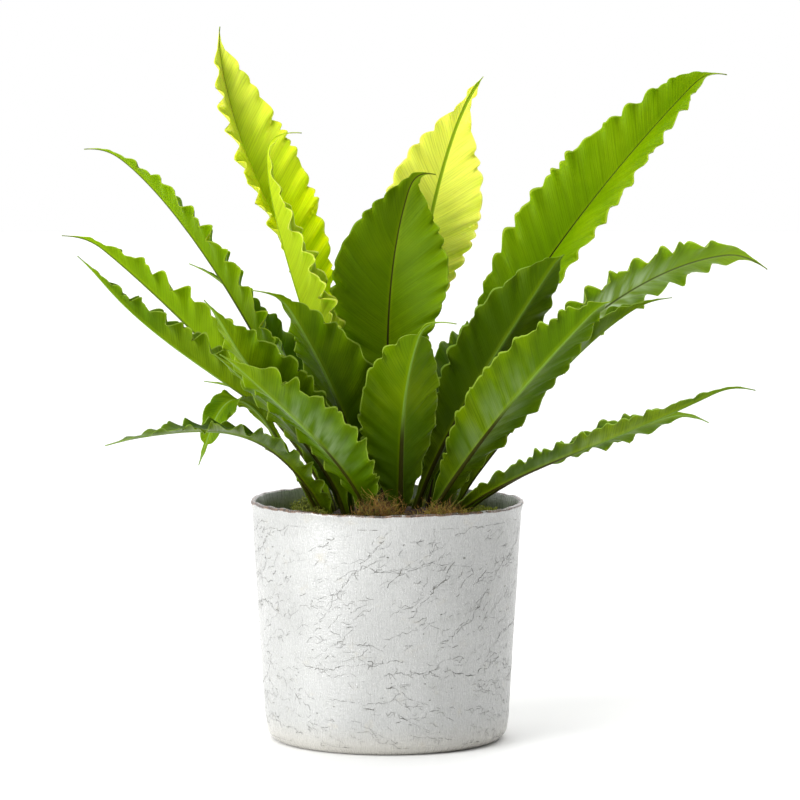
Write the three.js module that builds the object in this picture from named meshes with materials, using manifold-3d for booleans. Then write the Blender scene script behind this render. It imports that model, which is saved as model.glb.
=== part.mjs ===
// A bird's nest fern with waved fronds, potted in a round crackled pot with moss over the soil.
// Millimetres, +Z up. The origin is the middle of the pot's underside, and the front faces -Y.

import * as THREE from 'three';
import { mergeVertices } from 'three/addons/utils/BufferGeometryUtils.js';
import Module from 'manifold-3d';

const wasm = await Module();
wasm.setup();

// Driving dimensions
const clearance = 0.3;
const pot = {
  height: 142,
  footRadius: 71.5,
  rimRadius: 79.5,
  lipRadius: 80.5,
  lipHeight: 6,
  wall: 3,
  floor: 5,
  footCorner: 8,
  lipWaver: 0.7,
};
const soil = { top: 131, pocketFloor: 100 };
const crown = { radius: 43, shoulder: 6, edgeTop: 133, top: 137.5 };
const socket = { radius: 4.2, floor: 128, sides: 6 };
const stalk = { halfWidth: 2.6, thickness: 3.4, keel: 0.6 };
const blade = { thickness: 0.9, start: 11, keel: 1.6, innerLine: 0.6 };
const dripTip = { length: 11, rootHalfWidth: 1.3, endHalfWidth: 0.7, bendLength: 24, hollow: 0.02 };
const waves = { period: 15, height: 3.2, lean: 0.25, scallop: 0.07 };

// Colours of the fronds, from the yellow young ones to the dark old ones
const tones = {
  lime: '#9fc22a',
  pale: '#c3d44a',
  fresh: '#5f9a28',
  green: '#4a8426',
  deep: '#376f24',
};

// The planting plan: where each midrib leaves the crown, the two points that bend it, and its tip.
// hook moves the drip tip, face is the compass angle that the upper side looks to, roll and twist
// turn the blade about its midrib, and fold is the angle that each half rises by. Where they are
// given, blunt widens the blade near its tip, and drip is the length of the drip tip.
const plan = [
  {
    name: 'frond_back_left_tall', tone: 'lime',
    root: [-10, 22], rise: [-25, 52, 250], bend: [-92, 58, 312], tip: [-103, 70, 419],
    hook: [2, 0, 2], face: -25, roll: 0, twist: -40, fold: 48,
    halfWidth: 31, widest: 0.68, baseTaper: 1.8, tipTaper: 0.7,
  },
  {
    name: 'frond_back_left_lime', tone: 'lime',
    root: [-14, 4], rise: [-13, -2, 172], bend: [-95, -7, 346], tip: [-63, -2, 365],
    hook: [13, 0, -6], face: -2, roll: 0, twist: 0, fold: 44,
    halfWidth: 25, widest: 0.5, baseTaper: 0.8, tipTaper: 1.8,
  },
  {
    name: 'frond_back_pale', tone: 'pale',
    root: [5, 22], rise: [4, 36, 171], bend: [22, 64, 350], tip: [58, 68, 391],
    hook: [0, 0, 0], face: -90, roll: 0, twist: 0, fold: 15,
    halfWidth: 30, widest: 0.7, baseTaper: 2.2, tipTaper: 1.65,
  },
  {
    name: 'frond_centre', tone: 'green',
    root: [2, 10], rise: [3, 18, 188], bend: [-9, 32, 277], tip: [20, 36, 343],
    hook: [9, 0, -10], face: -120, roll: 0, twist: 40, fold: 20,
    halfWidth: 36.5, widest: 0.67, baseTaper: 1.7, tipTaper: 1.05, blunt: 1.2,
  },
  {
    name: 'frond_front_centre', tone: 'green',
    root: [7, -34], rise: [10, -40, 169], bend: [4, -66, 218], tip: [26, -82, 262],
    hook: [14, 0, -10], face: 106, roll: 0, twist: 0, fold: 25,
    halfWidth: 26, widest: 0.55, baseTaper: 0.8, tipTaper: 0.55, blunt: 0.5, drip: 20,
  },
  {
    name: 'frond_middle_left', tone: 'deep',
    root: [-13, -12], rise: [-14, -21, 179], bend: [-36, -37, 226], tip: [-66, -48, 274],
    hook: [-12, 0, -5], face: 62, roll: 0, twist: 0, fold: 30,
    halfWidth: 28, widest: 0.5, baseTaper: 0.8, tipTaper: 0.9,
  },
  {
    name: 'frond_left_high', tone: 'fresh',
    root: [-30, 13], rise: [-40, 15, 174], bend: [-121, 40, 331], tip: [-176, 38, 352],
    hook: [-5, 0, -4], face: 0, roll: 4, twist: 0, fold: 38,
    halfWidth: 17, widest: 0.6, baseTaper: 1.3, tipTaper: 0.9,
  },
  {
    name: 'frond_left_middle', tone: 'green',
    root: [-33, 2], rise: [-25, -6, 160], bend: [-149, 7, 279], tip: [-184, 4, 302],
    hook: [-8, 0, -4], face: 0, roll: 14, twist: 0, fold: 48,
    halfWidth: 21, widest: 0.5, baseTaper: 0.9, tipTaper: 0.9,
  },
  {
    name: 'frond_left_low', tone: 'green',
    root: [-24, -7], rise: [-30, -20, 195], bend: [-132, -37, 219], tip: [-175, -48, 288],
    hook: [-4, 0, 1], face: 0, roll: 8, twist: 0, fold: 50,
    halfWidth: 19, widest: 0.5, baseTaper: 0.9, tipTaper: 0.9,
  },
  {
    name: 'frond_left_inner', tone: 'green',
    root: [-19, -21], rise: [-29, -42, 182], bend: [-82, -71, 214], tip: [-99, -86, 265],
    hook: [-5, 0, 1], face: 60, roll: 0, twist: 0, fold: 28,
    halfWidth: 25, widest: 0.58, baseTaper: 1.1, tipTaper: 0.8,
  },
  {
    name: 'frond_front_left', tone: 'fresh',
    root: [-8, -33], rise: [-20, -78, 176], bend: [-59, -112, 205], tip: [-91, -138, 240],
    hook: [-2, 0, -1], face: 75, roll: -14, twist: 0, fold: 20,
    halfWidth: 25, widest: 0.55, baseTaper: 0.8, tipTaper: 0.6,
  },
  {
    name: 'frond_front_left_under', tone: 'green',
    root: [-21, -29], rise: [-32, -45, 170], bend: [-65, -66, 203], tip: [-95, -96, 234],
    hook: [-3, 0, 2], face: 60, roll: 0, twist: 0, fold: 25,
    halfWidth: 19, widest: 0.55, baseTaper: 1.1, tipTaper: 0.6,
  },
  {
    name: 'frond_left_lowest', tone: 'green',
    root: [-30, -21], rise: [-66, -62, 193], bend: [-86, -101, 199], tip: [-152, -140, 190],
    hook: [-5, 0, -2], face: 40, roll: -15, twist: 20, fold: 15,
    halfWidth: 16, widest: 0.42, baseTaper: 0.5, tipTaper: 0.6, blunt: 2.5,
  },
  {
    name: 'frond_left_drooping', tone: 'deep',
    root: [-35, -10], rise: [-58, -18, 162], bend: [-87, -62, 256], tip: [-107, -54, 171],
    hook: [-2, 0, -3], face: 75, roll: 0, twist: 0, fold: 12,
    halfWidth: 9, widest: 0.78, baseTaper: 4, tipTaper: 0.4,
  },
  {
    name: 'frond_left_rear', tone: 'green',
    root: [-24, 22], rise: [-21, 37, 166], bend: [-75, 60, 255], tip: [-115, 66, 277],
    hook: [-5, 0, 1], face: -30, roll: 0, twist: 0, fold: 35,
    halfWidth: 14, widest: 0.5, baseTaper: 0.9, tipTaper: 0.9,
  },
  {
    name: 'frond_right_tall', tone: 'fresh',
    root: [16, 20], rise: [42, 31, 216], bend: [124, 65, 327], tip: [199, 68, 400],
    hook: [6, 0, -8], face: -118, roll: 0, twist: 0, fold: 32,
    halfWidth: 32, widest: 0.6, baseTaper: 2.3, tipTaper: 0.58,
  },
  {
    name: 'frond_right_middle', tone: 'green',
    root: [31, 8], rise: [46, 22, 188], bend: [145, 46, 293], tip: [223, 42, 285],
    hook: [5, 0, -9], face: 180, roll: -42, twist: 0, fold: 6,
    halfWidth: 19, widest: 0.68, baseTaper: 0.9, tipTaper: 0.45, blunt: 1.6,
  },
  {
    name: 'frond_right_edge', tone: 'deep',
    root: [31, -3], rise: [65, -9, 171], bend: [109, -5, 240], tip: [162, -6, 264],
    hook: [6, 0, -2], face: 180, roll: 0, twist: 0, fold: 52,
    halfWidth: 17, widest: 0.6, baseTaper: 0.9, tipTaper: 0.9,
  },
  {
    name: 'frond_right_inner', tone: 'green',
    root: [14, 2], rise: [32, -7, 185], bend: [69, -19, 236], tip: [104, -16, 292],
    hook: [0, 0, -4], face: 110, roll: 0, twist: 0, fold: 22,
    halfWidth: 25, widest: 0.62, baseTaper: 1.3, tipTaper: 0.5, blunt: 2.2,
  },
  {
    name: 'frond_front_right', tone: 'green',
    root: [20, -29], rise: [53, -36, 182], bend: [86, -75, 226], tip: [127, -100, 270],
    hook: [0, 0, -4], face: 105, roll: 0, twist: 0, fold: 22,
    halfWidth: 25, widest: 0.55, baseTaper: 1.1, tipTaper: 0.6, blunt: 2.2,
  },
  {
    name: 'frond_right_low', tone: 'green',
    root: [29, -20], rise: [72, -38, 166], bend: [132, -98, 184], tip: [203, -106, 223],
    hook: [6, 0, -7], face: 155, roll: 0, twist: -20, fold: 36,
    halfWidth: 11, widest: 0.42, baseTaper: 0.6, tipTaper: 1,
  },
  {
    name: 'frond_right_lowest', tone: 'deep',
    root: [34, -11], rise: [77, -16, 163], bend: [127, -40, 184], tip: [182, -46, 201],
    hook: [5, 0, -9], face: 178, roll: -14, twist: -44, fold: 10,
    halfWidth: 11, widest: 0.7, baseTaper: 2.2, tipTaper: 0.9,
  },
  {
    name: 'frond_rear_long', tone: 'green',
    root: [-1, 35], rise: [-8, 66, 172], bend: [-10, 130, 226], tip: [-10, 190, 244],
    hook: [0, 4, -4], face: -90, roll: 0, twist: 0, fold: 38,
    halfWidth: 24, widest: 0.55, baseTaper: 0.9, tipTaper: 0.8,
  },
  {
    name: 'frond_rear_right', tone: 'green',
    root: [24, 27], rise: [34, 50, 190], bend: [52, 100, 232], tip: [76, 152, 238],
    hook: [2, 4, -4], face: -120, roll: 0, twist: 0, fold: 40,
    halfWidth: 22, widest: 0.55, baseTaper: 0.9, tipTaper: 0.8,
  },
  {
    name: 'frond_rear_left', tone: 'green',
    root: [-16, 33], rise: [-26, 60, 186], bend: [-54, 104, 226], tip: [-80, 146, 230],
    hook: [-2, 4, -4], face: -60, roll: 0, twist: 0, fold: 40,
    halfWidth: 22, widest: 0.55, baseTaper: 0.9, tipTaper: 0.8,
  },
  {
    name: 'frond_rear_upright', tone: 'fresh',
    root: [9, 35], rise: [9, 60, 196], bend: [6, 94, 262], tip: [4, 124, 300],
    hook: [0, 4, 0], face: -90, roll: 0, twist: 0, fold: 30,
    halfWidth: 20, widest: 0.6, baseTaper: 1.2, tipTaper: 0.8,
  },
  {
    name: 'frond_rear_right_low', tone: 'deep',
    root: [33, 19], rise: [52, 42, 176], bend: [80, 76, 216], tip: [112, 108, 224],
    hook: [4, 4, -4], face: -140, roll: 0, twist: 0, fold: 42,
    halfWidth: 18, widest: 0.55, baseTaper: 0.9, tipTaper: 0.8,
  },
  {
    name: 'frond_rear_left_low', tone: 'deep',
    root: [-33, 20], rise: [-45, 36, 166], bend: [-70, 66, 200], tip: [-108, 82, 205],
    hook: [-4, 2, 0], face: -30, roll: 0, twist: 0, fold: 40,
    halfWidth: 16, widest: 0.5, baseTaper: 0.9, tipTaper: 0.9,
  },
];

// The moss clumps: angle and half angle on the ring of soil, how far they reach in and out, height
const mossClumps = [
  { name: 'moss_front', tone: '#6f7a2c', angle: -95, spread: 13, inner: 46, outer: 71, height: 15 },
  { name: 'moss_front_left', tone: '#5d7a24', angle: -138, spread: 19, inner: 46, outer: 72, height: 6 },
  { name: 'moss_front_right', tone: '#8fa52c', angle: -58, spread: 16, inner: 47, outer: 73, height: 9 },
  { name: 'moss_right', tone: '#7f9628', angle: -14, spread: 24, inner: 47, outer: 72, height: 6 },
  { name: 'moss_back_right', tone: '#647c26', angle: 52, spread: 26, inner: 46, outer: 72, height: 7 },
  { name: 'moss_back_left', tone: '#647c26', angle: 128, spread: 28, inner: 46, outer: 71, height: 7 },
];
const mossGrid = { around: 18, rings: 5, base: 1.2, tuft: 0.45 };

// Small helpers
const radians = THREE.MathUtils.degToRad;
const mix = THREE.MathUtils.lerp;
const clamp = THREE.MathUtils.clamp;
const smooth = (x) => THREE.MathUtils.smoothstep(x, 0, 1);

function named(name, geometry, color, roughness, metalness = 0) {
  geometry.computeVertexNormals();
  const material = new THREE.MeshStandardMaterial({ color, roughness, metalness });
  const mesh = new THREE.Mesh(geometry, material);
  mesh.name = name;
  return mesh;
}

function toSolid(geometry) {
  const bare = geometry.clone();
  bare.deleteAttribute('normal');
  bare.deleteAttribute('uv');
  const merged = mergeVertices(bare, 1e-4);
  const vertProperties = new Float32Array(merged.attributes.position.array);
  const triVerts = new Uint32Array(merged.index.array);
  return new wasm.Manifold(new wasm.Mesh({ numProp: 3, vertProperties, triVerts }));
}

function toGeometry(solid) {
  const { vertProperties, triVerts } = solid.getMesh();
  const geometry = new THREE.BufferGeometry();
  geometry.setAttribute('position', new THREE.BufferAttribute(vertProperties, 3));
  geometry.setIndex(new THREE.BufferAttribute(triVerts, 1));
  return geometry;
}

function indexed(points, triangles) {
  const geometry = new THREE.BufferGeometry();
  const flat = points.flatMap((point) => point.toArray());
  geometry.setAttribute('position', new THREE.Float32BufferAttribute(flat, 3));
  geometry.setIndex(triangles.flat());
  return geometry;
}

// A profile of [radius, height] pairs turned about the upright axis
function turned(profile, segments) {
  const outline = profile.map(([radius, height]) => new THREE.Vector2(radius, height));
  return new THREE.LatheGeometry(outline, segments).rotateX(Math.PI / 2);
}

// The pot: a tapered wall on a rounded foot, under a thin lip that wavers a little
function potOuterRadius(z) {
  return mix(pot.footRadius, pot.rimRadius, clamp(z / (pot.height - pot.lipHeight), 0, 1));
}

function makePot() {
  const corner = [];
  for (let angle = -90; angle <= 0; angle += 30) {
    const centreRadius = pot.footRadius - pot.footCorner;
    corner.push([
      centreRadius + pot.footCorner * Math.cos(radians(angle)),
      pot.footCorner + pot.footCorner * Math.sin(radians(angle)),
    ]);
  }
  const lipBase = pot.height - pot.lipHeight;
  const profile = [
    [0, 0],
    ...corner,
    [potOuterRadius(lipBase / 2), lipBase / 2],
    [potOuterRadius(lipBase), lipBase],
    [pot.lipRadius, pot.height - 1],
    [pot.lipRadius - 0.8, pot.height],
    [pot.lipRadius - pot.wall + 0.8, pot.height],
    [pot.lipRadius - pot.wall, pot.height - 1],
    [potOuterRadius(lipBase) - pot.wall, lipBase],
    [potOuterRadius(pot.floor + 3) - pot.wall, pot.floor + 3],
    [potOuterRadius(pot.floor) - pot.wall - 3, pot.floor],
    [0, pot.floor],
  ];
  const geometry = turned(profile, 48);
  const position = geometry.attributes.position;
  for (let i = 0; i < position.count; i += 1) {
    const angle = Math.atan2(position.getY(i), position.getX(i));
    const nearLip = smooth((position.getZ(i) - lipBase) / pot.lipHeight);
    const waver = pot.lipWaver * (0.6 * Math.cos(angle - 2.8) + 0.4 * Math.sin(5 * angle + 1));
    position.setZ(i, position.getZ(i) + nearLip * waver);
  }
  return named('pot', geometry, '#dfe2e2', 0.35);
}

// The soil fills the pot to below the lip, with a pocket that the crown sits in
function makeSoil() {
  const inside = (z) => potOuterRadius(z) - pot.wall - clearance - 0.2;
  const bottom = pot.floor + clearance;
  const pocketRadius = crown.radius + clearance;
  const profile = [
    [0, bottom],
    [inside(bottom) - 4, bottom],
    [inside(bottom + 4) - 0.4, bottom + 4],
    [inside(soil.top), soil.top],
    [pocketRadius, soil.top],
    [pocketRadius, soil.pocketFloor - clearance],
    [0, soil.pocketFloor - clearance],
  ];
  return named('potting_soil', turned(profile, 40), '#3a2a1d', 0.95);
}

// The midrib of one frond, from the crown to the tip of its drip tip
class Midrib {
  constructor({ root, rise, bend, tip, hook, drip = dripTip.length }) {
    const start = [...root, socket.floor];
    const points = [start, rise, bend, tip].map((point) => new THREE.Vector3(...point));
    this.curve = new THREE.CubicBezierCurve3(...points);
    this.hook = new THREE.Vector3(...hook);
    this.length = this.curve.getLength();
    this.bladeStart = blade.start / this.length;
    this.bladeEnd = 1 - drip / this.length;
    this.hookStart = 1 - dripTip.bendLength / this.length;
  }

  point(s) {
    const bent = clamp((s - this.hookStart) / (1 - this.hookStart), 0, 1);
    return this.curve.getPointAt(clamp(s, 0, 1)).addScaledVector(this.hook, bent ** 3);
  }

  tangent(s) {
    const step = 1e-3;
    const ahead = this.point(Math.min(s + step, 1));
    return ahead.sub(this.point(Math.max(s - step, 0))).normalize();
  }

  // Place along the blade itself: 0 where it starts above the crown, 1 where the drip tip starts
  alongBlade(s) {
    return (s - this.bladeStart) / (this.bladeEnd - this.bladeStart);
  }

  atBlade(q) {
    return mix(this.bladeStart, this.bladeEnd, q);
  }
}

// Half the width at s: an outline that swells and narrows, and runs out into the drip tip in a hollow
// curve that is shorter on a blunt frond
function halfWidth(frond, midrib, s) {
  const q = clamp(midrib.alongBlade(s), 0, 1);
  const rise = Math.log(0.5) / Math.log(frond.widest);
  const taper = mix(frond.baseTaper, frond.tipTaper, q);
  const outline = Math.max(Math.sin(Math.PI * q ** rise), 0) ** taper;
  const narrow = mix(stalk.halfWidth, dripTip.rootHalfWidth, q);
  const toTip = (1 - s) * midrib.length;
  const hollow = dripTip.endHalfWidth + dripTip.hollow * (frond.blunt ?? 1) * toTip ** 2.2;
  const filling = 0.8 * Math.min(1, frond.halfWidth / 22) * clamp((17 - toTip) / 6, 0, 1);
  const width = Math.max(narrow + (frond.halfWidth - narrow) * outline, filling * hollow);
  return Math.min(width, hollow);
}

// The frond's own directions and sizes at s: where its middle is, which way its sides and face lie
function sectionAt(frond, midrib, s) {
  const q = midrib.alongBlade(s);
  const tangent = midrib.tangent(s);
  const face = radians(frond.face);
  const level = new THREE.Vector3(-Math.sin(face), Math.cos(face), 0);
  const side = level.addScaledVector(tangent, -level.dot(tangent)).normalize();
  const normal = new THREE.Vector3().crossVectors(side, tangent);
  const turn = radians(frond.roll + frond.twist * clamp(q, 0, 1));
  side.applyAxisAngle(tangent, turn);
  normal.applyAxisAngle(tangent, turn);
  const open = smooth(clamp((q + 0.04) / 0.2, 0, 1));
  return {
    middle: midrib.point(s),
    tangent,
    side,
    normal,
    width: halfWidth(frond, midrib, s),
    fold: radians(frond.fold) * open,
    thickness: mix(stalk.thickness, blade.thickness, open),
    keel: mix(stalk.keel, blade.keel * (1 - clamp(q, 0, 1)), open),
  };
}

// The crests and troughs of one margin: where they lie along the blade and how high they stand
function marginWaves(frond, midrib, sign) {
  const bladeLength = midrib.length * (midrib.bladeEnd - midrib.bladeStart);
  const count = 2 * Math.round(bladeLength / waves.period);
  const seed = frond.seed + sign;
  const crests = [];
  for (let i = 0; i <= count; i += 1) {
    const fade = Math.min(1, (i / (0.25 * count)) ** 0.5, (count - i) / 1.6);
    const shift = 0.3 * fade * Math.sin(2.4 * i + 3 * seed);
    const unevenness = 0.85 + 0.3 * Math.sin(1.7 * i + 5 * seed);
    const way = i % 2 === 0 ? 1 : -1;
    crests.push({ q: (i + shift) / count, height: way * unevenness * fade });
  }
  return crests;
}

// A point of one half of the blade: u is 0 at the midrib and 1 at the margin, face 1 is the upper side
function bladePoint(section, sign, u, ruffle, face) {
  const { middle, tangent, side, normal, width, fold, thickness } = section;
  const outward = side.clone().multiplyScalar(sign * Math.cos(fold));
  outward.addScaledVector(normal, Math.sin(fold));
  const upward = normal.clone().multiplyScalar(Math.cos(fold));
  upward.addScaledVector(side, -sign * Math.sin(fold));
  const waveHeight = Math.min(waves.height, waves.lean * width) * ruffle;
  const reach = width * u * (1 + waves.scallop * ruffle);
  return middle.clone()
    .addScaledVector(outward, reach)
    .addScaledVector(upward, waveHeight + (face * thickness) / 2);
}

function ribPoint(section, face) {
  const half = section.thickness / 2 / Math.cos(section.fold);
  const offset = face > 0 ? half : -half - section.keel;
  return section.middle.clone().addScaledVector(section.normal, offset);
}

// Joins two lines that run side by side, always stepping along the one that is behind
function zip(left, right, addTriangle) {
  let i = 0;
  let j = 0;
  while (i < left.length - 1 || j < right.length - 1) {
    const rightDone = j === right.length - 1;
    const leftBehind = i < left.length - 1 && (rightDone || left[i + 1].s <= right[j + 1].s);
    if (leftBehind) {
      addTriangle(left[i], right[j], left[i + 1]);
      i += 1;
    } else {
      addTriangle(left[i], right[j], right[j + 1]);
      j += 1;
    }
  }
}

function frondGeometry(frond) {
  const midrib = new Midrib(frond);
  const points = [];
  const triangles = [];

  function addPair(s, upper, lower) {
    points.push(upper, lower);
    return { s, upper: points.length - 2, lower: points.length - 1 };
  }

  const crestCount = marginWaves(frond, midrib, 1).length;
  const stalkRows = [0, midrib.bladeStart * 0.5];
  const tipRows = [mix(midrib.bladeEnd, 1, 0.5), 1];
  const bladeRows = [];
  for (let i = 0; i < crestCount; i += 2) {
    bladeRows.push(midrib.atBlade(i / (crestCount - 1)));
  }
  const rows = [...stalkRows, ...bladeRows, ...tipRows];

  function innerLine(sign) {
    return rows.map((s) => {
      const section = sectionAt(frond, midrib, s);
      const upper = bladePoint(section, sign, blade.innerLine, 0, 1);
      return addPair(s, upper, bladePoint(section, sign, blade.innerLine, 0, -1));
    });
  }

  function marginLine(sign) {
    const still = (s) => ({ s, height: 0 });
    const standing = ({ q, height }) => ({ s: midrib.atBlade(q), height });
    const crests = marginWaves(frond, midrib, sign).map(standing);
    return [...stalkRows.map(still), ...crests, ...tipRows.map(still)].map(({ s, height }) => {
      const section = sectionAt(frond, midrib, s);
      return addPair(s, bladePoint(section, sign, 1, height, 1), bladePoint(section, sign, 1, height, -1));
    });
  }

  const rib = rows.map((s) => {
    const section = sectionAt(frond, midrib, s);
    return addPair(s, ribPoint(section, 1), ribPoint(section, -1));
  });
  const lines = [marginLine(-1), innerLine(-1), rib, innerLine(1), marginLine(1)];

  for (let i = 0; i < lines.length - 1; i += 1) {
    zip(lines[i], lines[i + 1], (a, b, c) => {
      triangles.push([a.upper, b.upper, c.upper]);
      triangles.push([a.lower, c.lower, b.lower]);
    });
  }

  const closeEdge = (from, to) => {
    triangles.push([from.upper, from.lower, to.upper]);
    triangles.push([to.upper, from.lower, to.lower]);
  };
  const leftEdge = lines[0];
  const rightEdge = lines[lines.length - 1];
  for (let i = 0; i < leftEdge.length - 1; i += 1) {
    closeEdge(leftEdge[i + 1], leftEdge[i]);
  }
  for (let i = 0; i < rightEdge.length - 1; i += 1) {
    closeEdge(rightEdge[i], rightEdge[i + 1]);
  }
  for (let i = 0; i < lines.length - 1; i += 1) {
    closeEdge(lines[i][0], lines[i + 1][0]);
    closeEdge(lines[i + 1].at(-1), lines[i].at(-1));
  }
  return indexed(points, triangles);
}

// The crown is a low dome with one plain hole for the stalk of each frond
function crownGeometry(fronds) {
  const { radius, shoulder, edgeTop, top } = crown;
  const profile = [
    [0, soil.pocketFloor],
    [radius, soil.pocketFloor],
    [radius, edgeTop - shoulder],
    [radius - shoulder, edgeTop],
    [radius * 0.5, mix(edgeTop, top, 0.75)],
    [0, top],
  ];
  let solid = toSolid(turned(profile, 32));
  const holeLength = 40;
  for (const frond of fronds) {
    const midrib = new Midrib(frond);
    const direction = midrib.tangent(0);
    const hole = new THREE.CylinderGeometry(socket.radius, socket.radius, holeLength, socket.sides);
    const turn = new THREE.Quaternion().setFromUnitVectors(new THREE.Vector3(0, 1, 0), direction);
    hole.translate(0, holeLength / 2 - clearance, 0).applyQuaternion(turn);
    hole.translate(...midrib.point(0).toArray());
    solid = solid.subtract(toSolid(hole));
  }
  return toGeometry(solid);
}

// A moss clump follows the ring of soil round the crown, as a low pad with rows of small tufts
function mossGeometry({ angle, spread, inner, outer, height }, index) {
  const { around, rings, base, tuft } = mossGrid;
  const middleRadius = (inner + outer) / 2;
  const halfDepth = (outer - inner) / 2;
  const bottom = soil.top + clearance;
  const points = [];
  const triangles = [];

  function place(turn, reach, z) {
    const radius = middleRadius + halfDepth * reach * Math.sin(turn);
    const bearing = radians(angle - spread * reach * Math.cos(turn));
    points.push(new THREE.Vector3(radius * Math.cos(bearing), radius * Math.sin(bearing), z));
  }

  for (let ring = 1; ring <= rings; ring += 1) {
    for (let step = 0; step < around; step += 1) {
      const turn = (2 * Math.PI * (step + 0.5 * (ring % 2))) / around;
      const reach = ring / rings;
      const lump = Math.sqrt(1 - 0.96 * reach * reach) * (1 + 0.15 * Math.sin(3 * turn + index));
      const raised = (step + ring) % 2 === 0 ? 1 : 1 - tuft;
      place(turn, reach, bottom + base + (height - base) * lump * raised);
    }
  }
  place(0, 0, bottom + height * 0.9);
  for (let step = 0; step < around; step += 1) {
    place((2 * Math.PI * (step + 0.5 * (rings % 2))) / around, 1, bottom);
  }
  place(0, 0, bottom);

  const top = rings * around;
  const at = (ring, step) => (ring - 1) * around + (step % around);
  const under = (step) => top + 1 + (step % around);
  const underMiddle = points.length - 1;
  for (let step = 0; step < around; step += 1) {
    triangles.push([top, at(1, step), at(1, step + 1)]);
    for (let ring = 1; ring < rings; ring += 1) {
      const even = ring % 2;
      const [a, b] = [at(ring, step), at(ring, step + 1)];
      const [c, d] = [at(ring + 1, step), at(ring + 1, step + 1)];
      if (even) {
        triangles.push([a, c, d], [a, d, b]);
      } else {
        triangles.push([a, c, b], [b, c, d]);
      }
    }
    triangles.push([at(rings, step), under(step), under(step + 1)]);
    triangles.push([at(rings, step), under(step + 1), at(rings, step + 1)]);
    triangles.push([underMiddle, under(step + 1), under(step)]);
  }
  return indexed(points, triangles);
}

const fronds = plan.map((frond, index) => ({ ...frond, seed: index }));
const group = new THREE.Group();
group.add(makePot());
group.add(makeSoil());
group.add(named('crown', crownGeometry(fronds), '#4a3220', 0.9));
for (const frond of fronds) {
  group.add(named(frond.name, frondGeometry(frond), tones[frond.tone], 0.4));
}
mossClumps.forEach((clump, index) => {
  group.add(named(clump.name, mossGeometry(clump, index), clump.tone, 0.95));
});

export default group;
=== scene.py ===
"""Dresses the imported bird's nest fern: fine waved fronds, crackled pot, soil, fibrous crown and moss."""
import math
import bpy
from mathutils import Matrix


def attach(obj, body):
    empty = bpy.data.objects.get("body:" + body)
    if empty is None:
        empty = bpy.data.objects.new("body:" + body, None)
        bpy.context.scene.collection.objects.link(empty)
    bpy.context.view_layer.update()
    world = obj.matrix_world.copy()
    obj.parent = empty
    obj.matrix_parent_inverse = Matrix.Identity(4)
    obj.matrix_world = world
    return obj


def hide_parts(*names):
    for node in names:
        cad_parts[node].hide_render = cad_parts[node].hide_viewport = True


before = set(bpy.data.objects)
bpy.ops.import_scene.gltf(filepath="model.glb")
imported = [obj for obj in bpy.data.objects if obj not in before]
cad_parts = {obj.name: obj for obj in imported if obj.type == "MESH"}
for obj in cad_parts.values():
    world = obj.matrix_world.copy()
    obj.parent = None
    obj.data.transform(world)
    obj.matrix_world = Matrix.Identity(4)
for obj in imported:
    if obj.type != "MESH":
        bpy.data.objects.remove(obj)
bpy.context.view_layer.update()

import zlib

import bpy
import numpy as np
from mathutils import Vector

TURN = 2 * math.pi
# All sizes below are millimetres in the row frame, and become metres in make_mesh
MM = 0.001
SOCKET_FLOOR = 128.0
POT = dict(height=142.0, foot=71.5, rim=79.5, lip=80.5, lip_height=6.0, wall=3.0, floor=5.0, corner=8.0,
           waver=0.7)
# The wall's mean radius, and how far it is round the pot there
WALL_RADIUS = 76.0
GIRTH = TURN * WALL_RADIUS
# The hairlines of the glaze: how low and high they reach, how proud they lie, and how many there are
CRACKLE = dict(low=5.0, high=133.0, proud=0.06, long=250, short=640, specks=420)
SOIL_TOP = 131.0
CROWN = dict(radius=43.0, shoulder=6.0, edge_top=133.0, top=137.5, bottom=100.0)
STALK = dict(half_width=2.6, thickness=3.4, keel=0.6)
BLADE = dict(thickness=0.6, start=11.0, keel=1.5)
DRIP = dict(length=11.0, root=1.3, end=0.25, bend_length=24.0, hollow=0.02)
WAVES = dict(period=15.0, height=2.3, lean=0.18, scallop=0.03)
LOBES = dict(period=9.5, depth=2.4, lift=2.3, roundness=0.7)
PLEATS = dict(fine=(0.1, 3.7 / TURN), broad=(0.4, 10.5 / TURN))
VEIN_SLANT = 0.8
ROW_STEP = 1.15
SIDE_COLUMNS = 13
# The view: where the camera stands, in metres, then the side of the picture, the focal length and how
# far the view is tilted down, in pixels
CAMERA = dict(place=(0.0077, -2.5, 0.425), side=800, focal=4244, down=380)


def blade(name, look, root, rise, bend, tip, hook, **rest):
    """The values of one frond, with those that most fronds share."""
    usual = dict(face=0, roll=0, twist=0, blunt=1, drip=DRIP["length"], calm=1, lobed=1, wavy=1,
                 gloss=0.04, bloom=None, brown=0.5)
    points = dict(root=(*root, SOCKET_FLOOR), rise=rise, bend=bend, tip=tip, hook=hook)
    return {"name": name, "look": look, **points, **usual, **rest}


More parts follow.
